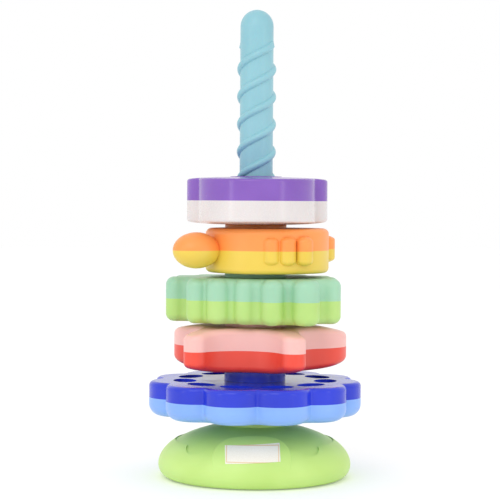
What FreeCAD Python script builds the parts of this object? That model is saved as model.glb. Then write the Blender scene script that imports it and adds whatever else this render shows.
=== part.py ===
import FreeCAD, Part
import Sketcher
import math
import os

# Stacking toy: a domed base with a screw-ridged spindle and five two-colour rings.
# Millimetres, +Z up, origin on the floor at the spindle's axis, the front faces -Y.

os.makedirs("parts", exist_ok=True)
doc = FreeCAD.newDocument("stacking_toy")
Vec = FreeCAD.Vector
X_DIR = Vec(1, 0, 0)
Y_DIR = Vec(0, 1, 0)
Z_DIR = Vec(0, 0, 1)

# ---------------------------------------------------------------- sizes
SIZES = [
    ("spindle_top", 349.6, "top of the spindle above the floor"),
    ("core_radius", 12.4, "spindle core"),
    ("core_wall", 2.5, "spindle wall"),
    ("core_floor", 18.0, "solid foot of the spindle ends at this height"),
    ("flange_radius", 19.0, "spindle flange under the socket"),
    ("flange_low", 6.9, "underside of the flange"),
    ("flange_thick", 3.0, "flange thickness"),
    ("ridge_lead", 41.1, "height gained by a ridge in one turn"),
    ("ridge_rise", 2.27, "ridge above the core"),
    ("ridge_width", 6.4, "ridge height along the axis"),
    ("ridge_low", 52.0, "lower end of both ridges"),
    ("ridge_high", 324.0, "upper end of both ridges"),
    ("ridge_fade", 14.0, "height over which a ridge fades away"),
    ("ridge_front_z", 295.0, "height where a ridge crosses the front"),
    ("base_radius", 72.2, "widest radius of the base"),
    ("base_edge", 9.75, "round of the base's lower edge"),
    ("dome_rise", 32.0, "dome above the widest level"),
    ("base_wall", 2.4, "base wall"),
    ("skirt_top_radius", 59.5, "radius where the raised skirt ends"),
    ("skirt_step", 1.0, "skirt raised above the dome"),
    ("rim_low", 0.8, "the dome's rim above the floor"),
    ("rim_inner", 60.6, "opening of the base's underside"),
    ("seat_radius", 23.0, "round seat under the lowest ring"),
    ("seat_top", 46.6, "top of that seat"),
    ("socket_radius", 12.5, "socket for the spindle"),
    ("socket_outer", 16.5, "outside of the socket's wall"),
    ("arch_half", 28.5, "half width of the raised arch on the base's front"),
    ("arch_corner", 16.0, "round of the arch's two shoulders, seen from above"),
    ("arch_top", 45.0, "top of the arch from the axis, seen from above"),
    ("arch_shift", -2.2, "middle of the arch"),
    ("arch_rise", 35.0, "the arch's face above the widest level, steeper than the dome"),
    ("arch_depth", 4.5, "how deep the arch runs into the dome"),
    ("arch_round", 1.2, "round of the arch's edge"),
    ("valley_radius", 13.0, "hollow in the skirt on each side of the arch"),
    ("valley_reach", 52.8, "centre of such a hollow from the axis"),
    ("valley_right", -50.3, "direction of the right hollow, degrees"),
    ("valley_left", -134.5, "direction of the left hollow, degrees"),
    ("plate_radius", 60.2, "bottom plate"),
    ("plate_low", 1.4, "underside of the plate"),
    ("plate_thick", 3.2, "plate thickness"),
    ("plate_rib_height", 2.28, "height of the ring rib inside the plate"),
    ("plate_sink", 1.9, "how deep the screw heads sit in the plate"),
    ("base_screw_circle", 48.0, "radius of the base screws' circle"),
    ("base_boss_radius", 4.2, "screw bosses inside the dome"),
    ("base_boss_height", 25.4, "height of those bosses"),
    ("foot_circle", 50.0, "radius of the feet's circle"),
    ("foot_radius", 6.0, "rubber foot"),
    ("foot_height", 2.0, "rubber foot's height"),
    ("foot_recess", 0.6, "how deep a foot sits in the plate"),
    ("label_width", 39.5, "label"),
    ("label_height", 11.6, "label, seen from the front"),
    ("label_thick", 0.2, "label"),
    ("label_middle", 25.8, "middle of the label above the floor"),
    ("label_shift", -1.5, "middle of the label from the axis"),
    ("label_turn", -2.6, "the label is stuck on slightly askew, degrees"),
    ("ring_pitch", 36.6, "height from one ring's seam to the next"),
    ("first_seam", 60.6, "seam of the lowest ring above the floor"),
    ("ring_half", 16.2, "half the thickness of the upper rings"),
    ("flower_up", 12.0, "flower ring above its seam"),
    ("flower_down", 13.8, "flower ring below its seam"),
    ("cloud_down", 17.1, "cloud ring below its seam"),
    ("animal_down", 16.8, "animal ring below its seam"),
    ("crown_up", 17.6, "top ring above its seam"),
    ("crown_down", 17.6, "top ring below its seam"),
    ("shell_wall", 2.4, "ring shell wall"),
    ("shell_roof", 2.6, "ring shell roof and floor"),
    ("flower_roof", 4.6, "roof that carries the flower's pockets"),
    ("soft_floor", 5.0, "floor of the flower, under its soft edge"),
    ("domed_roof", 6.8, "roof and floor of the butterfly, thick in the middle"),
    ("crown_roof", 4.4, "roof of the top ring"),
    ("crown_floor", 4.9, "floor of the top ring"),
    ("edge_round", 4.4, "round of the rings' outer edges"),
    ("soft_round", 6.0, "softer round of the cloud ring"),
    ("petal_round", 9.0, "flower's lower edge"),
    ("crisp_round", 3.6, "animal ring's lower edge"),
    ("flower_round", 3.4, "round of the flower's upper edge"),
    ("crown_round", 2.0, "round of the top ring's outer edges"),
    ("bore_radius", 15.4, "opening of every ring, clear of the ridges"),
    ("hub_radius", 20.2, "outside of the tube round the opening"),
    ("peg_radius", 2.8, "peg that runs between the ridges"),
    ("peg_reach", 13.0, "free radius between the two pegs"),
    ("peg_drop", 7.0, "pegs below the seam"),
    ("collar_radius", 23.0, "spacer collar"),
    ("collar_gap", 0.05, "clearance above and below a collar"),
    ("spigot_radius", 17.6, "collar's neck in the upper shell"),
    ("spigot_fit", 0.08, "clearance round that neck"),
    ("spigot_length", 6.0, "length of that neck"),
    ("cap_radius", 19.4, "collar of the top ring"),
    ("cap_proud", 0.6, "how far that collar stands up"),
    ("screw_circle", 28.2, "radius of the ring screws' circle"),
    ("pilot_boss", 3.4, "boss in an upper shell"),
    ("head_boss", 4.7, "boss in a lower shell"),
    ("screw_shank", 1.45, "ring screw's shank"),
    ("screw_hole", 1.6, "hole for that shank"),
    ("screw_head", 2.8, "ring screw's head"),
    ("head_hole", 3.2, "counterbore for the head"),
    ("head_seat", 3.0, "head's seat below the seam"),
    ("head_thick", 1.8, "head thickness"),
    ("shank_length", 11.0, "shank above the head's seat"),
    ("pilot_depth", 9.0, "blind hole above the seam"),
    ("petal_count", 11, "petals of the flower ring"),
    ("petal_reach", 56.2, "centre of a petal's arc from the axis"),
    ("petal_radius", 23.5, "a petal's arc"),
    ("petal_blend", 1.8, "round of the crease between petals"),
    ("pocket_reach", 53.0, "centre of a petal's pocket"),
    ("pocket_long", 12.5, "half length of a pocket, along the rim"),
    ("pocket_wide", 8.6, "half width of a pocket"),
    ("pocket_depth", 2.2, "depth of a pocket"),
    ("post_height", 10.8, "toes and feet of the animal ring, above and below the seam"),
    ("post_cap", 4.0, "height of their rounded ends"),
]

sheet = doc.addObject("Spreadsheet::Sheet", "Sizes")
for row, (alias, value, meaning) in enumerate(SIZES, start=1):
    sheet.set("A%d" % row, meaning)
    sheet.set("B%d" % row, str(value))
    sheet.setAlias("B%d" % row, alias)
doc.recompute()


def size(alias):
    """One size, read back from the sheet."""
    return float(sheet.get(alias))


def size_of(formula):
    """The size that a one-word formula names."""
    return size(formula.replace("Sizes.", ""))


def bind(target, **formulas):
    """Drive properties of an object from the sheet; a double underscore stands for a dot."""
    for prop, formula in formulas.items():
        target.setExpression(prop.replace("__", "."), formula)


# ---------------------------------------------------------------- shared ways of building
def new_body(name):
    body = doc.addObject("PartDesign::Body", name)
    body.Label = name
    doc.recompute()
    return body


def origin_part(body, role):
    for feature in body.Origin.OriginFeatures:
        if feature.Role == role:
            return feature
    raise ValueError(role)


def new_sketch(body, name, role="XY_Plane", lift=None):
    sketch = body.newObject("Sketcher::SketchObject", name)
    sketch.AttachmentSupport = [(origin_part(body, role), "")]
    sketch.MapMode = "FlatFace"
    if lift:
        bind(sketch, AttachmentOffset__Base__z=lift)
    return sketch


def add_circle(sketch, radius, reach=None):
    """A circle on the axis, or out along the sketch's X axis; both sizes are formulas."""
    start = 10.0 if reach else 0.0
    index = sketch.addGeometry(Part.Circle(Vec(start, 0, 0), Z_DIR, 1.0))
    if reach:
        out = sketch.addConstraint(Sketcher.Constraint("DistanceX", -1, 1, index, 3, start))
        sketch.addConstraint(Sketcher.Constraint("PointOnObject", index, 3, -1))
        sketch.setExpression("Constraints[%d]" % out, reach)
    else:
        sketch.addConstraint(Sketcher.Constraint("Coincident", index, 3, -1, 1))
    bound = sketch.addConstraint(Sketcher.Constraint("Radius", index, 1.0))
    sketch.setExpression("Constraints[%d]" % bound, radius)
    return index


def pad(body, sketch, name, length, down=False):
    feature = body.newObject("PartDesign::Pad", name)
    feature.Profile = sketch
    feature.Reversed = down
    bind(feature, Length=length)
    doc.recompute()
    return feature


def pocket(body, sketch, name, depth=None, up=False):
    """Cuts downwards from the sketch, or upwards; with no depth it cuts through both ways."""
    before = body.Shape.Volume
    feature = body.newObject("PartDesign::Pocket", name)
    feature.Profile = sketch
    feature.Reversed = up
    if depth:
        bind(feature, Length=depth)
    else:
        feature.Type = "ThroughAll"
        feature.Midplane = True
    doc.recompute()
    if body.Shape.Volume > before - 1.0:
        raise ValueError(name + " cuts nothing")
    return feature


def round_edges(body, name, base, picked, radius):
    feature = body.newObject("PartDesign::Fillet", name)
    names = ["Edge%d" % n for n, edge in enumerate(base.Shape.Edges, start=1) if picked(edge)]
    feature.Base = (base, names)
    bind(feature, Radius=radius)
    doc.recompute()
    return feature


def repeat(body, name, feature, count):
    """The feature spread evenly round the axis."""
    pattern = body.newObject("PartDesign::PolarPattern", name)
    pattern.Originals = [feature]
    pattern.Axis = (origin_part(body, "Z_Axis"), "")
    pattern.Angle = 360
    bind(pattern, Occurrences=count)
    body.Tip = pattern
    doc.recompute()
    return pattern


def at_level(z):
    """Picks the edges that lie flat at this height."""
    return lambda edge: all(abs(v.Z - z) < 0.01 for v in edge.Vertexes)


# ---------------------------------------------------------------- ring outlines
# Each outline is a chain of round lobes, listed anticlockwise seen from above, with a
# hollow blend to the next: (x, y, lobe radius, blend radius).
def direction(degrees):
    turn = math.radians(degrees)
    return Vec(math.cos(turn), math.sin(turn), 0)


def flower_lobes():
    count = int(size("petal_count"))
    step = 360.0 / count
    lobes = []
    for k in range(count):
        centre = direction(-90.0 + step * (k + 0.5)) * size("petal_reach")
        lobes.append((centre.x, centre.y, size("petal_radius"), size("petal_blend")))
    return lobes


BUTTERFLY_HALF = [
    (35.7, -48.4, 9.0, 28.0),
    (37.0, 23.0, 29.2, 16.0),
]
BUTTERFLY_NOTCH = 32.0

CLOUD = [
    (-7.2, -38.5, 8.4, 5.0),
    (12.1, -49.0, 8.0, 3.6),
    (36.4, -47.5, 10.0, 6.5),
    (54.4, -26.0, 8.4, 6.0),
    (54.6, 0.5, 8.2, 4.0),
    (50.0, 23.0, 10.0, 4.0),
    (32.5, 40.5, 11.0, 4.0),
    (9.5, 47.0, 10.0, 5.0),
    (-14.5, 45.0, 10.5, 4.0),
    (-37.0, 34.5, 11.0, 4.0),
    (-53.5, 18.0, 9.5, 4.0),
    (-58.8, -3.0, 8.2, 7.5),
    (-43.2, -27.5, 7.6, 2.0),
    (-27.4, -34.0, 8.6, 3.2),
]

SHELL = [(8.6, -1.0, 46.1, 0.0)]

CROWN = [
    (0.6, -13.5, 43.2, 3.0),
    (37.6, 8.0, 16.3, 3.0),
    (22.0, 26.0, 22.0, 20.0),
    (-22.0, 26.0, 22.0, 3.0),
    (-35.7, 8.0, 16.3, 3.0),
]


def outer_corner(a, b):
    """Centre of the blend that touches both lobes from outside."""
    start = Vec(a[0], a[1], 0)
    span = Vec(b[0] - a[0], b[1] - a[1], 0)
    gap = span.Length
    near = a[2] + a[3]
    far = b[2] + a[3]
    along = (gap * gap + near * near - far * far) / (2 * gap)
    aside = math.sqrt(near * near - along * along)
    forward = span / gap
    outward = Vec(forward.y, -forward.x, 0)
    return start + forward * along + outward * aside


def angle_of(point, centre):
    return math.atan2(point.y - centre.y, point.x - centre.x)


def add_arc(sketch, centre, radius, start, end):
    """An arc that runs anticlockwise from start to end."""
    first = angle_of(start, centre)
    last = angle_of(end, centre)
    if last <= first:
        last += 2 * math.pi
    sketch.addGeometry(Part.ArcOfCircle(Part.Circle(centre, Z_DIR, radius), first, last))


def add_outline(sketch, lobes, inset=0.0):
    """Draws the chain of lobes, moved inwards by inset."""
    if len(lobes) == 1:
        x, y, radius, _ = lobes[0]
        sketch.addGeometry(Part.Circle(Vec(x, y, 0), Z_DIR, radius - inset))
        return
    blends = []
    for lobe, following in zip(lobes, lobes[1:] + lobes[:1]):
        corner = outer_corner(lobe, following)
        touches = []
        for x, y, radius, _ in (lobe, following):
            centre = Vec(x, y, 0)
            touches.append(centre + (corner - centre).normalize() * (radius - inset))
        add_arc(sketch, corner, lobe[3] + inset, touches[1], touches[0])
        blends.append(touches)
    for k, (x, y, radius, _) in enumerate(lobes):
        add_arc(sketch, Vec(x, y, 0), radius - inset, blends[k - 1][1], blends[k][0])


def butterfly_lobes():
    """The right half, and its mirror image walked back to the notch in front."""
    left = []
    for k in range(len(BUTTERFLY_HALF) - 1, -1, -1):
        x, y, radius, _ = BUTTERFLY_HALF[k]
        blend = BUTTERFLY_HALF[k - 1][3] if k else BUTTERFLY_NOTCH
        left.append((-x, y, radius, blend))
    return BUTTERFLY_HALF + left


# ---------------------------------------------------------------- ring halves
def place_ring(part, ring, lift="0"):
    """Stands a ring's piece at its seam, turned the way the ring faces."""
    part.Placement = FreeCAD.Placement(Vec(0, 0, 0), FreeCAD.Rotation(Z_DIR, ring["facing"]))
    level = "Sizes.first_seam + %d * Sizes.ring_pitch + %s" % (ring["level"], lift)
    bind(part, Placement__Base__z=level)


def add_ball(body, name, ball, half, shrink=0.0, cut=False):
    """Half an ellipsoid on the seam: centre, half sizes, heading."""
    kind = "PartDesign::SubtractiveEllipsoid" if cut else "PartDesign::AdditiveEllipsoid"
    feature = body.newObject(kind, name)
    x, y, along, across, tall, heading = ball
    feature.Radius1 = tall - shrink
    feature.Radius2 = along - shrink
    feature.Radius3 = across - shrink
    feature.Angle1 = 0 if half == "top" else -90
    feature.Angle2 = 90 if half == "top" else 0
    feature.Placement = FreeCAD.Placement(Vec(x, y, 0), FreeCAD.Rotation(Z_DIR, heading))
    doc.recompute()


def add_post(body, name, post, half):
    """Half a toe or foot: an upright round post with a rounded end."""
    x, y, radius = post
    side = 1 if half == "top" else -1
    straight = size("post_height") - size("post_cap")
    trunk = body.newObject("PartDesign::AdditiveCylinder", name)
    trunk.Radius = radius
    trunk.Height = straight
    trunk.Placement.Base = Vec(x, y, 0 if half == "top" else -straight)
    end = body.newObject("PartDesign::AdditiveEllipsoid", name + "_end")
    end.Radius1 = size("post_cap")
    end.Radius2 = radius
    end.Radius3 = radius
    end.Angle1 = 0 if half == "top" else -90
    end.Angle2 = 90 if half == "top" else 0
    end.Placement.Base = Vec(x, y, side * straight)
    doc.recompute()


def curve_face(body, name, half, height, dome):
    """Turns a half's outer face into a shallow dome outside its flat middle."""
    flat, radius = dome
    side = 1 if half == "top" else -1
    reach = 75.0
    turn = math.asin((reach - flat) / radius)
    drop = radius * (1 - math.cos(turn))
    above = side * (height + 1.0)
    sketch = new_sketch(body, name + "_curve", "XZ_Plane")
    inner = Vec(flat, side * height, 0)
    middle = Vec(flat + radius * math.sin(turn / 2), side * (height - radius * (1 - math.cos(turn / 2))), 0)
    outer = Vec(reach, side * (height - drop), 0)
    sketch.addGeometry(Part.Arc(inner, middle, outer))
    add_path(sketch, outer, Vec(reach, above, 0), Vec(flat, above, 0), inner)
    cut = body.newObject("PartDesign::Groove", name + "_dome")
    cut.Profile = sketch
    cut.ReferenceAxis = (origin_part(body, "Z_Axis"), "")
    cut.Angle = 360
    doc.recompute()
    return cut


def outer_rim(low, reach):
    """Picks the edges of an outer face: not upright, above this height, beyond this reach."""
    def picked(edge):
        start = edge.tangentAt(edge.FirstParameter)
        far = all(math.hypot(v.X, v.Y) > reach and abs(v.Z) > low for v in edge.Vertexes)
        return far and abs(start.z) < 0.9
    return picked


def ring_block(body, ring, half):
    """The outside of one half: padded outline, domed face, rounded edge, head and limbs."""
    name = ring["name"] + "_" + half
    height = ring[half + "_height"]
    dome = ring[half + "_dome"]
    outline = new_sketch(body, name + "_outline")
    add_outline(outline, ring["lobes"])
    block = pad(body, outline, name + "_block", height, down=(half == "bottom"))
    if dome:
        block = curve_face(body, name, half, size_of(height), dome)
        rim = outer_rim(5.0, dome[0] + 1.5)
    else:
        rim = at_level(size_of(height) * (1 if half == "top" else -1))
    round_edges(body, name + "_round", block, rim, ring[half + "_round"])
    for k, ball in enumerate(ring["balls"]):
        add_ball(body, "%s_head_%d" % (name, k + 1), ball, half)
    for k, post in enumerate(ring["posts"]):
        add_post(body, "%s_foot_%d" % (name, k + 1), post, half)


def ring_hollow(body, ring, half):
    """The empty space inside one half, round the hub tube."""
    name = ring["name"] + "_" + half
    roof = ring[half + "_roof"]
    inside = new_sketch(body, name + "_inside")
    add_outline(inside, ring["lobes"], size("shell_wall"))
    add_circle(inside, "Sizes.hub_radius")
    depth = ring[half + "_height"] + " - " + roof
    pocket(body, inside, name + "_hollow", depth, up=(half == "top"))
    for k, ball in enumerate(ring["balls"]):
        add_ball(body, "%s_head_%d_hollow" % (name, k + 1), ball, half, size("shell_wall"), cut=True)


def ring_bore(body, name):
    bore = new_sketch(body, name + "_bore_circle")
    add_circle(bore, "Sizes.bore_radius")
    pocket(body, bore, name + "_bore")


def screw_sketch(body, name, radius, lift=None):
    sketch = new_sketch(body, name, lift=lift)
    add_circle(sketch, radius, "Sizes.screw_circle")
    sketch.AttachmentOffset = FreeCAD.Placement(Vec(0, 0, 0), FreeCAD.Rotation(Z_DIR, 30))
    return sketch


def upper_shell(ring):
    name = ring["name"] + "_top"
    height = ring["top_height"]
    body = new_body(name)
    ring_block(body, ring, "top")
    if ring["pockets"]:
        petal_pockets(body, ring)
    ring_hollow(body, ring, "top")
    boss = pad(body, screw_sketch(body, name + "_boss_circle", "Sizes.pilot_boss"),
               name + "_boss", height + " - " + ring["top_roof"] + " + 0.1")
    repeat(body, name + "_bosses", boss, "3")
    pilot = pocket(body, screw_sketch(body, name + "_pilot_circle", "Sizes.screw_hole"),
                   name + "_pilot", "Sizes.pilot_depth", up=True)
    repeat(body, name + "_pilots", pilot, "3")
    ring_bore(body, name)
    seat = new_sketch(body, name + "_seat_circle", lift=height)
    add_circle(seat, "Sizes.spigot_radius + Sizes.spigot_fit")
    pocket(body, seat, name + "_seat", "Sizes.spigot_length + Sizes.collar_gap * 2")
    place_ring(body, ring)
    return body


def petal_pockets(body, ring):
    """A shallow oval pocket in the middle of each petal."""
    name = ring["name"] + "_pocket"
    sketch = new_sketch(body, name + "_oval", lift=ring["top_height"])
    long_axis = Vec(0, 1, 0)
    centre = Vec(size("pocket_reach"), 0, 0)
    oval = Part.Ellipse(centre + long_axis * size("pocket_long"),
                        centre + Vec(size("pocket_wide"), 0, 0), centre)
    sketch.addGeometry(oval)
    turn = -90.0 + 180.0 / size("petal_count")
    lift = sketch.AttachmentOffset.Base
    sketch.AttachmentOffset = FreeCAD.Placement(lift, FreeCAD.Rotation(Z_DIR, turn))
    cut = pocket(body, sketch, name, "Sizes.pocket_depth")
    repeat(body, name + "s", cut, "Sizes.petal_count")


def lower_shell(ring):
    name = ring["name"] + "_bottom"
    height = ring["bottom_height"]
    body = new_body(name)
    ring_block(body, ring, "bottom")
    ring_hollow(body, ring, "bottom")
    boss = pad(body, screw_sketch(body, name + "_boss_circle", "Sizes.head_boss"),
               name + "_boss", height + " - " + ring["bottom_roof"] + " + 0.1", down=True)
    repeat(body, name + "_bosses", boss, "3")
    hole = pocket(body, screw_sketch(body, name + "_hole_circle", "Sizes.screw_hole"),
                  name + "_hole", height + " + 1")
    repeat(body, name + "_holes", hole, "3")
    mouth = screw_sketch(body, name + "_mouth_circle", "Sizes.head_hole", lift="-Sizes.head_seat")
    counter = pocket(body, mouth, name + "_mouth", height)
    repeat(body, name + "_mouths", counter, "3")
    ring_bore(body, name)
    ring_pegs(body, name, ring)
    place_ring(body, ring)
    return body


def ring_pegs(body, name, ring):
    """Two pegs that stand between the spindle's ridges and follow them."""
    seam = size("first_seam") + ring["level"] * size("ring_pitch")
    rise = seam - size("peg_drop") - size("ridge_front_z") + size("ridge_lead") / 4
    turn = rise / size("ridge_lead") * 360.0 - 90.0 - ring["facing"]
    sketch = new_sketch(body, name + "_peg_circle", "XZ_Plane")
    index = sketch.addGeometry(Part.Circle(Vec(0, -1, 0), Z_DIR, 1.0))
    sketch.addConstraint(Sketcher.Constraint("PointOnObject", index, 3, -2))
    drop = sketch.addConstraint(Sketcher.Constraint("DistanceY", index, 3, -1, 1, 1.0))
    bound = sketch.addConstraint(Sketcher.Constraint("Radius", index, 1.0))
    sketch.setExpression("Constraints[%d]" % drop, "Sizes.peg_drop")
    sketch.setExpression("Constraints[%d]" % bound, "Sizes.peg_radius")
    sketch.AttachmentOffset = FreeCAD.Placement(Vec(0, 0, 0), FreeCAD.Rotation(Y_DIR, turn + 90.0))
    bar = body.newObject("PartDesign::Pad", name + "_pegs")
    bar.Profile = sketch
    bar.Midplane = True
    bind(bar, Length="Sizes.bore_radius * 2 + 3")
    doc.recompute()
    gap = new_sketch(body, name + "_peg_gap_circle")
    add_circle(gap, "Sizes.peg_reach")
    pocket(body, gap, name + "_peg_gap")


def collar(ring):
    """The round spacer that turns in the upper shell and carries the ring above."""
    name = ring["name"] + "_collar"
    body = new_body(name)
    flange = new_sketch(body, name + "_flange_circle", lift="Sizes.collar_gap")
    add_circle(flange, ring["collar_radius"])
    disc = pad(body, flange, name + "_flange", ring["collar_height"] + " - Sizes.collar_gap * 2")
    top = disc.Shape.BoundBox.ZMax
    round_edges(body, name + "_round", disc, at_level(top), ring["collar_round"])
    neck = new_sketch(body, name + "_neck_circle", lift="Sizes.collar_gap")
    add_circle(neck, "Sizes.spigot_radius")
    pad(body, neck, name + "_neck", "Sizes.spigot_length", down=True)
    hole = new_sketch(body, name + "_hole_circle")
    add_circle(hole, "Sizes.bore_radius")
    pocket(body, hole, name + "_hole")
    place_ring(body, ring, ring["top_height"])
    return body


# ---------------------------------------------------------------- screws
def make_screw(name, shank, head, length, thick):
    """A round-headed screw with a cross slot; the head's seat is at z = 0, head down."""
    neck = doc.addObject("Part::Cylinder", name + "_shank")
    bind(neck, Radius=shank, Height=length)
    cap = doc.addObject("Part::Cylinder", name + "_cap")
    bind(cap, Radius=head, Height=thick, Placement__Base__z="-(%s)" % thick)
    whole = doc.addObject("Part::Fuse", name + "_whole")
    whole.Base = neck
    whole.Tool = cap
    slots = []
    for k in range(2):
        slot = doc.addObject("Part::Box", "%s_slot_%d" % (name, k))
        bind(slot, Length="(%s) * 1.2" % head, Width="(%s) * 0.22" % head, Height="(%s) * 0.6" % thick)
        half = Vec(-size_of(head) * 0.6, -size_of(head) * 0.11, 0)
        turn = FreeCAD.Rotation(Z_DIR, 90 * k)
        slot.Placement = FreeCAD.Placement(turn.multVec(half) - Vec(0, 0, size_of(thick)), turn)
        slots.append(slot)
    cross = doc.addObject("Part::Fuse", name + "_cross")
    cross.Base, cross.Tool = slots
    screw = doc.addObject("Part::Cut", name)
    screw.Base = whole
    screw.Tool = cross
    doc.recompute()
    return screw


def screw_group(name, screw, spots):
    """Copies of one screw, kept as separate solids under one name."""
    copies = []
    for spot in spots:
        copy = screw.Shape.copy()
        copy.Placement = FreeCAD.Placement(spot, FreeCAD.Rotation())
        copies.append(copy)
    group = doc.addObject("Part::Feature", name)
    group.Label = name
    group.Shape = Part.Compound(copies)
    return group


def ring_screws(ring, screw):
    spots = []
    for k in range(3):
        spot = direction(30.0 + 120.0 * k + ring["facing"]) * size("screw_circle")
        level = size("first_seam") + ring["level"] * size("ring_pitch") - size("head_seat")
        spots.append(spot + Vec(0, 0, level))
    return screw_group(ring["name"] + "_screws", screw, spots)


# ---------------------------------------------------------------- base
def dome_curve(sunk):
    """Half the dome's ellipse, moved inwards by sunk: its two half sizes."""
    return size("base_radius") - sunk, size("dome_rise") - sunk


def dome_height(radius, sunk):
    wide, tall = dome_curve(sunk)
    return size("base_edge") + tall * math.sqrt(max(0.0, 1 - (radius / wide) ** 2))


def add_dome_arc(sketch, sunk, inner, outer):
    """The dome's curve between two radii."""
    wide, tall = dome_curve(sunk)
    centre = Vec(0, size("base_edge"), 0)
    ellipse = Part.Ellipse(centre + Vec(wide, 0, 0), centre + Vec(0, tall, 0), centre)
    first = math.acos(min(1.0, outer / wide))
    last = math.acos(inner / wide)
    sketch.addGeometry(Part.ArcOfEllipse(ellipse, first, last))
    return Vec(outer, dome_height(outer, sunk), 0), Vec(inner, dome_height(inner, sunk), 0)


def add_path(sketch, *points):
    """Straight lines through the points."""
    for start, end in zip(points, points[1:]):
        sketch.addGeometry(Part.LineSegment(start, end))


def base_dome():
    """Revolved dome with its raised skirt, the seat on top and the spindle's socket."""
    body = new_body("base_dome")
    sketch = new_sketch(body, "dome_profile", "XZ_Plane")
    edge = size("base_edge")
    wall = size("base_wall")
    low = size("rim_low")
    wide = size("base_radius")
    inner = size("rim_inner")
    step_at = size("skirt_top_radius")
    centre = Vec(wide - edge, edge, 0)
    start = math.asin((low - edge) / edge)
    foot = centre + Vec(math.cos(start), math.sin(start), 0) * edge
    sketch.addGeometry(Part.ArcOfCircle(Part.Circle(centre, Z_DIR, edge), start, 0.0))
    _, skirt_end = add_dome_arc(sketch, 0.0, step_at, wide)
    cap_start, cap_end = add_dome_arc(sketch, size("skirt_step"), size("seat_radius"), step_at - 0.2)
    add_path(sketch, skirt_end, cap_start)
    seat_top = size("seat_top")
    bore = size("socket_radius")
    sleeve = size("socket_outer")
    sleeve_low = size("flange_low") + size("flange_thick")
    ceiling_in, ceiling_out = sleeve, wide - edge
    roof_out, roof_in = add_dome_arc(sketch, wall + size("skirt_step"), ceiling_in, ceiling_out)
    add_path(sketch, cap_end, Vec(size("seat_radius"), seat_top, 0), Vec(bore, seat_top, 0),
             Vec(bore, sleeve_low, 0), Vec(sleeve, sleeve_low, 0), roof_in)
    ledge = size("plate_low") + size("plate_thick") + 0.4
    add_path(sketch, roof_out, Vec(ceiling_out + 3.0, edge + 4.0, 0), Vec(ceiling_out + 3.0, edge - 2.0, 0),
             Vec(inner, ledge, 0), Vec(inner, low, 0), foot)
    turned = body.newObject("PartDesign::Revolution", "dome_turned")
    turned.Profile = sketch
    turned.ReferenceAxis = (origin_part(body, "Z_Axis"), "")
    turned.Angle = 360
    doc.recompute()
    seat_edge = lambda e: at_level(seat_top)(e) and abs(e.BoundBox.XMax - size("seat_radius")) < 0.01
    round_edges(body, "seat_round", turned, seat_edge, "1.2")
    top = "Sizes.plate_low + Sizes.plate_thick + 0.02"
    boss_circle = new_sketch(body, "base_boss_circle", lift=top)
    add_circle(boss_circle, "Sizes.base_boss_radius", "Sizes.base_screw_circle")
    turn_sketch(boss_circle, 45.0)
    boss = pad(body, boss_circle, "base_boss", "Sizes.base_boss_height")
    repeat(body, "base_bosses", boss, "4")
    pilot_circle = new_sketch(body, "base_pilot_circle", lift=top)
    add_circle(pilot_circle, "Sizes.screw_hole", "Sizes.base_screw_circle")
    turn_sketch(pilot_circle, 45.0)
    pilot = pocket(body, pilot_circle, "base_pilot", "12", up=True)
    repeat(body, "base_pilots", pilot, "4")
    return body


def turn_sketch(sketch, degrees):
    lift = sketch.AttachmentOffset.Base
    sketch.AttachmentOffset = FreeCAD.Placement(lift, FreeCAD.Rotation(Z_DIR, degrees))


def ellipsoid(name, sunk, rise="Sizes.dome_rise"):
    """The whole dome's ellipsoid, or the arch's steeper one, moved inwards by the formula."""
    solid = doc.addObject("Part::Ellipsoid", name)
    bind(solid, Radius1="%s - (%s)" % (rise, sunk), Radius2="Sizes.base_radius - (%s)" % sunk,
         Radius3="Sizes.base_radius - (%s)" % sunk, Placement__Base__z="Sizes.base_edge")
    return solid


def boolean(kind, name, base, tool):
    result = doc.addObject("Part::" + kind, name)
    result.Base = base
    result.Tool = tool
    return result


ARCH_RISE = "Sizes.arch_rise"


def upright_post(name, radius, spot):
    """A tall cylinder that marks out part of the dome from above."""
    post = doc.addObject("Part::Cylinder", name)
    bind(post, Radius=radius, Height="Sizes.seat_top", Placement__Base__x=spot[0],
         Placement__Base__y=spot[1], Placement__Base__z="Sizes.base_edge")
    return post


def upright_box(name, half, near, far):
    """A tall block, centred on the arch, between two distances in front of the axis."""
    block = doc.addObject("Part::Box", name)
    bind(block, Length="2 * (%s)" % half, Width="(%s) - (%s)" % (far, near), Height="Sizes.seat_top",
         Placement__Base__x="Sizes.arch_shift - (%s)" % half, Placement__Base__y="-(%s)" % far,
         Placement__Base__z="Sizes.base_edge")
    return block


def arch_mould():
    """What the arch covers, seen from above: a block with two rounded shoulders."""
    centre = "Sizes.arch_top + Sizes.arch_corner"
    inside = "Sizes.arch_half - Sizes.arch_corner"
    parts = [upright_box("arch_low", "Sizes.arch_half", centre, "Sizes.base_radius + 5"),
             upright_box("arch_high", inside, "Sizes.arch_top", centre)]
    for name, side in (("arch_left", "-"), ("arch_right", "+")):
        x = "Sizes.arch_shift %s (%s)" % (side, inside)
        parts.append(upright_post(name, "Sizes.arch_corner", (x, "-(%s)" % centre)))
    mould = doc.addObject("Part::MultiFuse", "arch_mould")
    mould.Shapes = parts
    return mould


def skirt_hollows():
    """The two hollows that part the arch from the rest of the raised skirt."""
    skin = boolean("Cut", "hollow_skin", ellipsoid("hollow_outer", "-2"),
                   ellipsoid("hollow_inner", "Sizes.skirt_step"))
    posts = []
    for side in ("right", "left"):
        turn = "Sizes.valley_%s * 1deg" % side
        spot = ["Sizes.valley_reach * %s(%s)" % (kind, turn) for kind in ("cos", "sin")]
        posts.append(upright_post("hollow_" + side, "Sizes.valley_radius", spot))
    both = boolean("Fuse", "hollow_posts", *posts)
    return boolean("Common", "hollows", skin, both)


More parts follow.
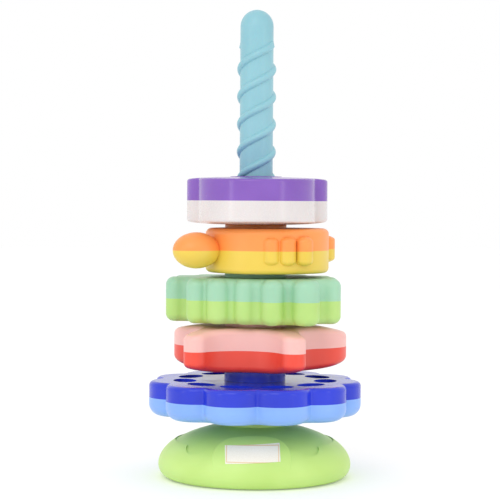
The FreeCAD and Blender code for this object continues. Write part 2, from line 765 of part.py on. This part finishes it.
def arch():
    """The steeper panel on the front, its visible edge rounded."""
    face = ellipsoid("arch_face", "0", ARCH_RISE)
    skin = boolean("Cut", "arch_skin", face, ellipsoid("arch_inner", "Sizes.arch_depth", ARCH_RISE))
    panel = boolean("Common", "arch_panel", skin, arch_mould())
    doc.recompute()
    low = size("base_edge") + 1.0
    outside = face.Shape.Shells[0]
    rim = []
    for index, edge in enumerate(panel.Shape.Edges, start=1):
        spots = edge.discretize(5)
        if all(spot.z > low and outside.distToShape(Part.Vertex(spot))[0] < 0.01 for spot in spots):
            rim.append((index, size("arch_round"), size("arch_round")))
    rounded = doc.addObject("Part::Fillet", "arch")
    rounded.Base = panel
    rounded.Edges = rim
    doc.recompute()
    return rounded


def base_shell():
    """The dome with the hollows in its skirt and the arch that stands out on its front."""
    raised = arch()
    dented = boolean("Cut", "base_dented", base_dome(), skirt_hollows())
    shell = boolean("Fuse", "base_shell", dented, raised)
    doc.recompute()
    return shell


def base_label():
    """A thin blank label that follows the arch's surface, square as seen from the front."""
    outer = ellipsoid("label_outer", "-Sizes.label_thick - 0.02", ARCH_RISE)
    inner = ellipsoid("label_inner", "-0.02", ARCH_RISE)
    skin = boolean("Cut", "label_skin", outer, inner)
    block = doc.addObject("Part::Box", "label_block")
    bind(block, Length="Sizes.label_width", Width="Sizes.base_radius", Height="Sizes.label_height")
    turn = FreeCAD.Rotation(Y_DIR, size("label_turn"))
    corner = Vec(-size("label_width") / 2, -size("base_radius"), -size("label_height") / 2)
    centre = Vec(size("label_shift"), 0, size("label_middle"))
    front = Vec(0, -size("base_radius") / 3, 0)
    block.Placement = FreeCAD.Placement(centre + front + turn.multVec(corner), turn)
    label = boolean("Common", "base_label", skin, block)
    doc.recompute()
    return label


def base_plate():
    """The plate that closes the underside and holds the spindle's flange up."""
    body = new_body("base_plate")
    disc_circle = new_sketch(body, "plate_circle", lift="Sizes.plate_low")
    add_circle(disc_circle, "Sizes.plate_radius")
    pad(body, disc_circle, "plate_disc", "Sizes.plate_thick")
    rib_circle = new_sketch(body, "plate_rib_circles", lift="Sizes.plate_low + Sizes.plate_thick")
    add_circle(rib_circle, "Sizes.flange_radius")
    add_circle(rib_circle, "Sizes.flange_radius - 3")
    pad(body, rib_circle, "plate_rib", "Sizes.plate_rib_height")
    hub_circle = new_sketch(body, "plate_hub_circle", lift="Sizes.plate_low + Sizes.plate_thick")
    add_circle(hub_circle, "5")
    pad(body, hub_circle, "plate_hub", "Sizes.plate_rib_height")
    middle = new_sketch(body, "plate_middle_circle")
    add_circle(middle, "Sizes.screw_hole")
    pocket(body, middle, "plate_middle_hole")
    sink = new_sketch(body, "plate_sink_circle", lift="Sizes.plate_low")
    add_circle(sink, "Sizes.head_hole")
    pocket(body, sink, "plate_middle_sink", "Sizes.plate_sink", up=True)
    hole_circle = new_sketch(body, "plate_hole_circle")
    add_circle(hole_circle, "Sizes.screw_hole", "Sizes.base_screw_circle")
    turn_sketch(hole_circle, 45.0)
    hole = pocket(body, hole_circle, "plate_hole")
    repeat(body, "plate_holes", hole, "4")
    sink_circle = new_sketch(body, "plate_head_circle", lift="Sizes.plate_low")
    add_circle(sink_circle, "Sizes.head_hole", "Sizes.base_screw_circle")
    turn_sketch(sink_circle, 45.0)
    sink = pocket(body, sink_circle, "plate_head_sink", "Sizes.plate_sink", up=True)
    repeat(body, "plate_head_sinks", sink, "4")
    foot_circle = new_sketch(body, "plate_foot_circle", lift="Sizes.plate_low")
    add_circle(foot_circle, "Sizes.foot_radius + 0.05", "Sizes.foot_circle")
    recess = pocket(body, foot_circle, "plate_foot_recess", "Sizes.foot_recess", up=True)
    repeat(body, "plate_foot_recesses", recess, "4")
    return body


def base_feet():
    """Four rubber feet, kept as separate solids under one name."""
    copies = []
    for k in range(4):
        spot = direction(90.0 * k) * size("foot_circle")
        disc = Part.makeCylinder(size("foot_radius"), size("foot_height"), spot)
        lower = [e for e in disc.Edges if at_level(0.0)(e) and len(e.Vertexes) == 1]
        copies.append(disc.makeFillet(0.5, lower))
    feet = doc.addObject("Part::Feature", "base_feet")
    feet.Label = "base_feet"
    feet.Shape = Part.Compound(copies)
    return feet


# ---------------------------------------------------------------- spindle
def spindle_core():
    """Hollow post with a round top, a solid foot and a flange."""
    body = new_body("spindle_core")
    sketch = new_sketch(body, "core_profile", "XZ_Plane")
    radius = size("core_radius")
    inside = radius - size("core_wall")
    shoulder = size("spindle_top") - radius
    floor = size("core_floor")
    low = size("flange_low")
    top = low + size("flange_thick") - 0.02
    wide = size("flange_radius")
    axis_points = [Vec(0, floor, 0), Vec(0, low, 0), Vec(wide, low, 0), Vec(wide, top, 0),
                   Vec(radius, top, 0), Vec(radius, shoulder, 0)]
    add_path(sketch, *axis_points)
    dome_centre = Vec(0, shoulder, 0)
    sketch.addGeometry(Part.ArcOfCircle(Part.Circle(dome_centre, Z_DIR, radius), 0, math.pi / 2))
    add_path(sketch, Vec(0, shoulder + radius, 0), Vec(0, shoulder + inside, 0))
    sketch.addGeometry(Part.ArcOfCircle(Part.Circle(dome_centre, Z_DIR, inside), 0, math.pi / 2))
    add_path(sketch, Vec(inside, shoulder, 0), Vec(inside, floor, 0), Vec(0, floor, 0))
    turned = body.newObject("PartDesign::Revolution", "core_turned")
    turned.Profile = sketch
    turned.ReferenceAxis = (origin_part(body, "Z_Axis"), "")
    turned.Angle = 360
    doc.recompute()
    hole = new_sketch(body, "core_pilot_circle", lift="Sizes.flange_low")
    add_circle(hole, "Sizes.screw_hole")
    pocket(body, hole, "core_pilot", "8", up=True)
    return body


def ridge(name, turn):
    """One rounded ridge, swept up the core."""
    base_in = size("core_radius") - 1.2
    skin = size("core_radius") - 0.15
    crest = size("core_radius") + size("ridge_rise")
    half = size("ridge_width") / 2
    line = [Vec(skin, 0, half), Vec(base_in, 0, half), Vec(base_in, 0, -half), Vec(skin, 0, -half)]
    edges = [Part.makeLine(a, b) for a, b in zip(line, line[1:])]
    edges.append(Part.Arc(line[-1], Vec(crest, 0, 0), line[0]).toShape())
    length = size("ridge_high") - size("ridge_low")
    helix = Part.makeHelix(size("ridge_lead"), length, size("core_radius"))
    sweep = Part.BRepOffsetAPI.MakePipeShell(Part.Wire(helix.Edges))
    sweep.setFrenetMode(True)
    sweep.add(Part.Wire(edges))
    sweep.build()
    sweep.makeSolid()
    shape = sweep.shape()
    start = (size("ridge_low") - size("ridge_front_z")) / size("ridge_lead") * 360.0 - 90.0
    feature = doc.addObject("Part::Feature", name)
    feature.Shape = shape
    feature.Placement = FreeCAD.Placement(Vec(0, 0, size("ridge_low")), FreeCAD.Rotation(Z_DIR, start + turn))
    return feature


def spindle():
    """The post with its two ridges, which fade into it at both ends."""
    ridges = boolean("Fuse", "both_ridges", ridge("ridge_one", 0.0), ridge("ridge_two", 180.0))
    sleeve = doc.addObject("Part::Cylinder", "ridge_sleeve")
    bind(sleeve, Radius="Sizes.core_radius + Sizes.ridge_rise + 0.1",
         Height="Sizes.ridge_high - Sizes.ridge_low - Sizes.ridge_fade * 2 + 12",
         Placement__Base__z="Sizes.ridge_low + Sizes.ridge_fade - 6")
    ends = []
    for name, flip in (("ridge_fade_high", False), ("ridge_fade_low", True)):
        cone = doc.addObject("Part::Cone", name)
        narrow = "Sizes.core_radius - 0.3"
        full = "Sizes.core_radius + Sizes.ridge_rise + 0.1"
        if flip:
            bind(cone, Radius1=narrow, Radius2=full, Placement__Base__z="Sizes.ridge_low - 6")
        else:
            bind(cone, Radius1=full, Radius2=narrow,
                 Placement__Base__z="Sizes.ridge_high + 6 - Sizes.ridge_fade")
        bind(cone, Height="Sizes.ridge_fade")
        ends.append(cone)
    envelope = doc.addObject("Part::MultiFuse", "ridge_envelope")
    envelope.Shapes = [sleeve] + ends
    trimmed = boolean("Common", "ridges_trimmed", ridges, envelope)
    post = boolean("Fuse", "spindle", spindle_core(), trimmed)
    doc.recompute()
    return post


# ---------------------------------------------------------------- the five rings, lowest first
HALF = "Sizes.ring_half"


def collar_height(below, above):
    """What is left between two rings."""
    return "Sizes.ring_pitch - %s - %s" % (below, above)


def ring_row(name, level, facing, lobes, **more):
    row = {"name": name, "level": level, "facing": facing, "lobes": lobes,
           "top_height": HALF, "bottom_height": HALF,
           "top_roof": "Sizes.shell_roof", "bottom_roof": "Sizes.shell_roof",
           "top_round": "Sizes.edge_round", "bottom_round": "Sizes.edge_round",
           "top_dome": None, "bottom_dome": None, "balls": [], "posts": [], "pockets": False,
           "collar_radius": "Sizes.collar_radius", "collar_height": collar_height(HALF, HALF),
           "collar_round": "0.8"}
    row.update(more)
    return row


# the animal's head: x, y, half length, half width, half height, heading
HEAD = [(-43.5, -29.5, 18.0, 14.8, 13.3, 28.0)]
# its three front toes, then its hind feet: x, y, radius
FEET = [
    (11.0, -43.7, 6.3),
    (23.0, -43.2, 6.3),
    (35.3, -40.2, 6.3),
    (50.0, 32.0, 11.0),
    (-20.0, 37.5, 10.5),
]
# flat middle and radius of the domed faces
BUTTERFLY_DOME = (36.0, 105.0)
CROWN_DOME = (21.0, 330.0)
CROWN_KEEL = (26.0, 190.0)

RINGS = [
    ring_row("blue", 0, 1.4, flower_lobes(), top_height="Sizes.flower_up",
             bottom_height="Sizes.flower_down", top_roof="Sizes.flower_roof",
             top_round="Sizes.flower_round", pockets=True,
             bottom_roof="Sizes.soft_floor", bottom_round="Sizes.petal_round",
             collar_height=collar_height("Sizes.flower_up", HALF)),
    ring_row("red", 1, -9.3, butterfly_lobes(), top_roof="Sizes.domed_roof",
             bottom_roof="Sizes.domed_roof", top_dome=BUTTERFLY_DOME, bottom_dome=BUTTERFLY_DOME,
             collar_height=collar_height(HALF, "Sizes.cloud_down")),
    ring_row("green", 2, 0.0, CLOUD, bottom_height="Sizes.cloud_down",
             top_round="Sizes.soft_round",
             bottom_round="Sizes.soft_round", collar_height=collar_height(HALF, "Sizes.animal_down")),
    ring_row("orange", 3, 0.0, SHELL, balls=HEAD, posts=FEET, bottom_height="Sizes.animal_down",
             bottom_round="Sizes.crisp_round",
             collar_height=collar_height(HALF, "Sizes.crown_down")),
    ring_row("purple", 4, 0.0, CROWN, top_height="Sizes.crown_up", bottom_height="Sizes.crown_down",
             top_dome=CROWN_DOME, bottom_dome=CROWN_KEEL, bottom_roof="Sizes.crown_floor",
             top_roof="Sizes.crown_roof", top_round="Sizes.crown_round", bottom_round="Sizes.crown_round",
             collar_radius="Sizes.cap_radius", collar_height="Sizes.cap_proud", collar_round="0.3"),
]

# ---------------------------------------------------------------- build, check and export
screw = make_screw("screw_pattern", "Sizes.screw_shank", "Sizes.screw_head",
                   "Sizes.shank_length", "Sizes.head_thick")
parts = {}
parts["base_shell"] = base_shell()
parts["base_plate"] = base_plate()
parts["base_label"] = base_label()
parts["base_feet"] = base_feet()
parts["spindle"] = spindle()
plate_seat = Vec(0, 0, size("plate_low") + size("plate_sink"))
base_spots = [direction(45.0 + 90.0 * k) * size("base_screw_circle") + plate_seat for k in range(4)]
parts["base_screws"] = screw_group("base_screws", screw, base_spots)
parts["spindle_screw"] = screw_group("spindle_screw", screw, [plate_seat])
for ring in RINGS:
    parts[ring["name"] + "_top"] = upper_shell(ring)
    parts[ring["name"] + "_bottom"] = lower_shell(ring)
    parts[ring["name"] + "_collar"] = collar(ring)
    parts[ring["name"] + "_screws"] = ring_screws(ring, screw)
doc.recompute()

for thing in doc.Objects:
    if "Invalid" in thing.State or "Error" in thing.State:
        raise ValueError("%s: %s" % (thing.Name, thing.State))
for node, thing in parts.items():
    thing.Label = node
    shape = thing.Shape
    if shape.isNull() or not shape.isValid():
        raise ValueError(node + " is not a valid solid")
    shape.exportStep("parts/%s.step" % node)
    print("%-16s %2d solids %10.1f mm3" % (node, len(shape.Solids), shape.Volume))
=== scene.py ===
import math

import bpy
from mathutils import Euler, Matrix, Vector


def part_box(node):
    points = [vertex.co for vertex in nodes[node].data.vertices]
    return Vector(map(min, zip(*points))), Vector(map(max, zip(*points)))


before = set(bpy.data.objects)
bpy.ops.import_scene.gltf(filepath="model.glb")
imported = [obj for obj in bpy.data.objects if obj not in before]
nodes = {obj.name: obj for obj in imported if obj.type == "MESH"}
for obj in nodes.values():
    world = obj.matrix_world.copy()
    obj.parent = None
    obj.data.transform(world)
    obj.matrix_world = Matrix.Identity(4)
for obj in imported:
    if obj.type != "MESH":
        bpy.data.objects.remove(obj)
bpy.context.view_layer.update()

# ------------------------------------------------------------------ domed base
# The foot of the toy is one bell of injection-moulded ABS with a stepped skirt and a raised
# arch on its front. The floor plate below it is the same plastic with a coarser finish, and
# four screws from below hold the two together.
MM = 0.001


def linear(colour):
    """An sRGB hex colour as linear red, green, blue and alpha."""
    parts = [int(colour[i:i + 2], 16) / 255 for i in (1, 3, 5)]
    return tuple(c / 12.92 if c <= 0.04045 else ((c + 0.055) / 1.055) ** 2.4 for c in parts) + (1.0,)


def add_node(tree, kind, settings=None, links=None):
    """Adds a shader node; a setting is a socket, by name or number, or a property."""
    node = tree.nodes.new(kind)
    for name, value in (settings or {}).items():
        if isinstance(name, str) and hasattr(node, name):
            setattr(node, name, value)
        else:
            node.inputs[name].default_value = value
    for name, source in (links or {}).items():
        tree.links.new(source, node.inputs[name])
    return node


def new_material(name):
    material = bpy.data.materials.new(name)
    material.use_nodes = True
    material.node_tree.nodes.clear()
    return material


def noise(tree, place, size, detail=2.0):
    """Noise whose features are about this many millimetres across."""
    return add_node(tree, "ShaderNodeTexNoise", {"Scale": 1 / (size * MM), "Detail": detail},
                    {"Vector": place.outputs["Object"]})


def spread(tree, source, low, high, dark=0.35, light=0.65):
    """Stretches the middle of a noise to the range from low to high."""
    return add_node(tree, "ShaderNodeMapRange",
                    {"From Min": dark, "From Max": light, "To Min": low, "To Max": high},
                    {"Value": source.outputs["Fac"]})


def finish(tree, colour, dull, grain, strength, depth, settings, under=None):
    """Ends a material: relief in the grain, depth in millimetres, over any broader relief."""
    links = {"Height": grain.outputs["Fac"]}
    if under:
        links["Normal"] = under.outputs["Normal"]
    relief = add_node(tree, "ShaderNodeBump", {"Strength": strength, "Distance": depth * MM}, links)
    shader = add_node(tree, "ShaderNodeBsdfPrincipled", settings,
                      {"Base Color": colour.outputs[2], "Roughness": dull.outputs[0],
                       "Normal": relief.outputs["Normal"]})
    add_node(tree, "ShaderNodeOutputMaterial", links={"Surface": shader.outputs["BSDF"]})


def moulded_abs(name, colour, deeper, roughness, coat=0.0, shine=0.5, grain=0.7):
    """Injection-moulded ABS. The melt leaves slow drifts of tone some 40 mm long. The tool's
    grain, really 0.2 mm and drawn coarser so that it shows, breaks up the reflections, and
    fingers leave duller patches. The wall heaves by a few hundredths between its ribs."""
    flow_size = 40
    touch_size = 22
    touch_dulling = 0.06
    heave_size = 14
    heave_depth = 0.05
    grain_depth = 0.02
    grain_sheen = 0.03
    material = new_material(name)
    tree = material.node_tree
    place = add_node(tree, "ShaderNodeTexCoord")
    flow = spread(tree, noise(tree, place, flow_size), 0.0, 1.0)
    body = add_node(tree, "ShaderNodeMix", {"data_type": "RGBA", 6: linear(colour), 7: linear(deeper)},
                    {0: flow.outputs["Result"]})
    tool = noise(tree, place, grain, 3.0)
    sheen = spread(tree, tool, roughness - grain_sheen, roughness + grain_sheen)
    touched = spread(tree, noise(tree, place, touch_size, 4.0), 0.0, touch_dulling, 0.5, 0.7)
    dull = add_node(tree, "ShaderNodeMath", {"operation": "ADD"},
                    {0: sheen.outputs["Result"], 1: touched.outputs["Result"]})
    heave = noise(tree, place, heave_size)
    waves = add_node(tree, "ShaderNodeBump", {"Strength": 0.2, "Distance": heave_depth * MM},
                     {"Height": heave.outputs["Fac"]})
    gloss = {"IOR": 1.53, "Specular IOR Level": shine, "Coat Weight": coat,
             "Coat Roughness": 0.12, "Subsurface Weight": 0.06, "Subsurface Scale": 1.5 * MM}
    finish(tree, body, dull, tool, 0.15, grain_depth, gloss, under=waves)
    return material


def paint(node_names, material):
    """Gives CAD nodes a material."""
    for name in node_names:
        slots = nodes[name].data.materials
        slots.clear()
        slots.append(material)


# a soft satin that shows the dome's shape without a hard highlight
paint(["base_shell"], moulded_abs("satin_moulded_lime_abs", "#c6e783", "#bee078", 0.42))
# the same lime with the coarser spark-eroded finish that undersides get
paint(["base_plate"], moulded_abs("spark_grained_lime_abs", "#b8dd7c", "#b0d672", 0.55, grain=1.4))

# ------------------------------------------------------------------ feet and screws
# Four soft rubber pads are glued into the floor plate's recesses. The screws are zinc-plated
# steel, turned and thread-rolled, and sit deep in their holes.


def moulded_rubber(name, colour):
    """Compression-moulded rubber: dull, with the fine pits of a sandblasted mould."""
    material = new_material(name)
    tree = material.node_tree
    place = add_node(tree, "ShaderNodeTexCoord")
    pit_size = 0.6
    cloud_size = 6
    pits = noise(tree, place, pit_size, 4.0)
    cloudy = spread(tree, noise(tree, place, cloud_size), 0.0, 1.0)
    body = add_node(tree, "ShaderNodeMix",
                    {"data_type": "RGBA", 6: linear(colour), 7: linear("#4a4a4d")},
                    {0: cloudy.outputs["Result"]})
    dull = spread(tree, pits, 0.7, 0.9)
    finish(tree, body, dull, pits, 0.4, 0.05, {"IOR": 1.52})
    return material


def zinc_plated_steel(name):
    """Bright zinc plate over rolled steel: cloudy, with a slightly yellow passivated bloom."""
    material = new_material(name)
    tree = material.node_tree
    place = add_node(tree, "ShaderNodeTexCoord")
    bloom_size = 1.5
    grain_size = 0.4
    bloom = spread(tree, noise(tree, place, bloom_size, 4.0), 0.0, 1.0)
    body = add_node(tree, "ShaderNodeMix",
                    {"data_type": "RGBA", 6: linear("#c9ccd0"), 7: linear("#d2cdb8")},
                    {0: bloom.outputs["Result"]})
    grain = noise(tree, place, grain_size, 3.0)
    dull = spread(tree, grain, 0.25, 0.42)
    finish(tree, body, dull, grain, 0.2, 0.01, {"Metallic": 1.0})
    return material


paint(["base_feet"], moulded_rubber("matt_moulded_rubber", "#3a3a3c"))
screw_steel = zinc_plated_steel("zinc_plated_rolled_steel")
paint(["base_screws", "spindle_screw"], screw_steel)

# ------------------------------------------------------------------ label
# A paper label is stuck to the arch. Its coated face is cream, with a thin warm line printed
# just inside the edge and nothing else on it.


def coated_paper(name, node):
    """Coated paper, its printed line drawn by the distance from the label's own middle."""
    low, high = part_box(node)
    middle = [(a + b) / 2 for a, b in zip(low, high)]
    half_wide = (high[0] - low[0]) / 2
    half_high = (high[2] - low[2]) / 2
    line_inset = 1.3 * MM
    line_width = 0.6 * MM
    fibre_size = 0.5
    material = new_material(name)
    tree = material.node_tree
    place = add_node(tree, "ShaderNodeTexCoord")
    axes = add_node(tree, "ShaderNodeSeparateXYZ", links={0: place.outputs["Object"]})
    margins = []
    for axis, half in ((0, half_wide), (2, half_high)):
        offset = add_node(tree, "ShaderNodeMath", {"operation": "SUBTRACT", 1: middle[axis]},
                          {0: axes.outputs[axis]})
        away = add_node(tree, "ShaderNodeMath", {"operation": "ABSOLUTE"}, {0: offset.outputs[0]})
        margins.append(add_node(tree, "ShaderNodeMath", {"operation": "SUBTRACT", 0: half},
                                {1: away.outputs[0]}))
    edge = add_node(tree, "ShaderNodeMath", {"operation": "MINIMUM"},
                    {0: margins[0].outputs[0], 1: margins[1].outputs[0]})
    line = add_node(tree, "ShaderNodeMath",
                    {"operation": "COMPARE", 1: line_inset, 2: line_width / 2}, {0: edge.outputs[0]})
    fibres = noise(tree, place, fibre_size, 5.0)
    cream = add_node(tree, "ShaderNodeMix",
                     {"data_type": "RGBA", 6: linear("#f6f1e4"), 7: linear("#efe8d8")},
                     {0: spread(tree, fibres, 0.0, 1.0).outputs["Result"]})
    printed = add_node(tree, "ShaderNodeMix", {"data_type": "RGBA", 7: linear("#e8c79a")},
                       {0: line.outputs[0], 6: cream.outputs[2]})
    dull = spread(tree, fibres, 0.38, 0.5)
    finish(tree, printed, dull, fibres, 0.15, 0.02, {"IOR": 1.5})
    return material


paint(["base_label"], coated_paper("coated_cream_paper", "base_label"))

# ------------------------------------------------------------------ spindle
# The post stands in the base and carries the twisted ridges that turn the rings as they
# sink. It is moulded in one piece, and sliding rings keep it a little polished.
paint(["spindle"], moulded_abs("ring_polished_aqua_abs", "#8ec2cd", "#86bbc7", 0.34))

# ------------------------------------------------------------------ flower ring
# The lowest and heaviest ring has a petalled deck with a shallow dish in each petal. Its two
# shells and round collar are moulded apart, and three screws from below close it.
# a polished mould gives this deck the deepest gloss on the toy
paint(["blue_top", "blue_collar"],
      moulded_abs("gloss_moulded_deep_blue_abs", "#283cd5", "#2437c8", 0.18, 0.2, shine=0.3))
# the paler under-shell is closer to satin
paint(["blue_bottom"], moulded_abs("satin_moulded_sky_blue_abs", "#8ab4f6", "#82adf0", 0.34))
paint(["blue_screws"], screw_steel)

# ------------------------------------------------------------------ butterfly ring
# Two wings with a notch between them, thick at the hub and thin at the tips. The pink upper
# shell and the red lower one meet at a seam halfway up.
# pale pink scatters light inside and looks soft
paint(["red_top", "red_collar"], moulded_abs("satin_moulded_pink_abs", "#f9c0b9", "#f5b8b0", 0.38))
paint(["red_bottom"], moulded_abs("satin_moulded_red_abs", "#f44b37", "#ec4430", 0.34))
paint(["red_screws"], screw_steel)

# ------------------------------------------------------------------ cloud ring
# Fourteen round lobes of uneven size, softly rounded above and below, in mint over leaf green.
paint(["green_top", "green_collar"], moulded_abs("satin_moulded_mint_abs", "#a3d3b2", "#9bccab", 0.4))
paint(["green_bottom"], moulded_abs("satin_moulded_leaf_abs", "#b9dd7f", "#b1d675", 0.4))
paint(["green_screws"], screw_steel)

# ------------------------------------------------------------------ animal ring
# A rounded back, a head that stands out at the front left, and toes along the front edge, in
# orange over yellow.
paint(["orange_top", "orange_collar"],
      moulded_abs("satin_moulded_orange_abs", "#fb9c4e", "#f69444", 0.38))
paint(["orange_bottom"], moulded_abs("satin_moulded_yellow_abs", "#ebcc51", "#e5c546", 0.38))
paint(["orange_screws"], screw_steel)

# ------------------------------------------------------------------ crown ring
# The topmost ring has the smallest hub and a gently domed deck, purple over white.
# a polished mould again, so tall highlights stand on its sides
paint(["purple_top", "purple_collar"],
      moulded_abs("gloss_moulded_purple_abs", "#865cba", "#7f55b2", 0.2, 0.2, shine=0.35))
paint(["purple_bottom"], moulded_abs("gloss_moulded_white_abs", "#dfd8d7", "#d9d2d1", 0.26, 0.2))
paint(["purple_screws"], screw_steel)

# ------------------------------------------------------------------ floor, light and camera
# A white sweep under an even white sky. A large soft box stands above and in front of the
# toy, and a tall strip on each side draws an upright highlight on the glossy rings.
SWEEP_REACH = 6.0
floor_mesh = bpy.data.meshes.new("floor")
corners = [(x * SWEEP_REACH, y * SWEEP_REACH, 0) for x, y in ((-1, -1), (1, -1), (1, 1), (-1, 1))]
floor_mesh.from_pydata(corners, [], [(0, 1, 2, 3)])
floor = bpy.data.objects.new("floor", floor_mesh)
bpy.context.scene.collection.objects.link(floor)
sweep_paint = bpy.data.materials.new("matt_painted_sweep")
sweep_paint.use_nodes = True
sweep_sockets = sweep_paint.node_tree.nodes["Principled BSDF"].inputs
sweep_sockets["Base Color"].default_value = (0.9, 0.9, 0.9, 1)
sweep_sockets["Roughness"].default_value = 0.9
sweep_sockets["Emission Color"].default_value = (1, 1, 1, 1)
sweep_sockets["Emission Strength"].default_value = 0.12
floor_mesh.materials.append(sweep_paint)

world = bpy.data.worlds.new("white_studio")
world.use_nodes = True
world.node_tree.nodes["Background"].inputs["Color"].default_value = (1, 1, 1, 1)
world.node_tree.nodes["Background"].inputs["Strength"].default_value = 1.0
bpy.context.scene.world = world
bpy.context.scene.view_settings.view_transform = "Standard"


def soft_box(name, place, aim, size, power):
    light = bpy.data.lights.new(name, "AREA")
    light.shape = "RECTANGLE"
    light.size, light.size_y = size
    light.energy = power
    lamp = bpy.data.objects.new(name, light)
    bpy.context.scene.collection.objects.link(lamp)
    lamp.location = place
    lamp.rotation_euler = (Vector(aim) - Vector(place)).to_track_quat("-Z", "Y").to_euler()


MIDDLE = (0, 0, 0.17)
KEY_SIZE = (1.2, 1.2)
KEY_POWER = 7
STRIP_SIZE = (0.15, 1.2)
STRIP_POWER = 1.2
soft_box("key", (-0.5, -1.6, 1.5), MIDDLE, KEY_SIZE, KEY_POWER)
for side in (-1, 1):
    soft_box("strip", (side * 1.1, -0.9, 0.3), MIDDLE, STRIP_SIZE, STRIP_POWER)

EYE_DISTANCE = 1275 * MM
EYE_HEIGHT = 207 * MM
EYE_SIDE = -4.25 * MM
TILT = math.radians(-1.66)
ROLL = math.radians(0.36)
WIDTH_SEEN = 375 * MM
SENSOR = 36
camera_data = bpy.data.cameras.new("camera")
camera_data.sensor_width = SENSOR
camera_data.lens = SENSOR * EYE_DISTANCE / WIDTH_SEEN
camera = bpy.data.objects.new("camera", camera_data)
bpy.context.scene.collection.objects.link(camera)
eye = Vector((EYE_SIDE, -EYE_DISTANCE, EYE_HEIGHT))
look = Euler((math.radians(90) + TILT, 0, 0)).to_matrix() @ Matrix.Rotation(ROLL, 3, "Z")
camera.matrix_world = Matrix.Translation(eye) @ look.to_4x4()
bpy.context.scene.camera = camera
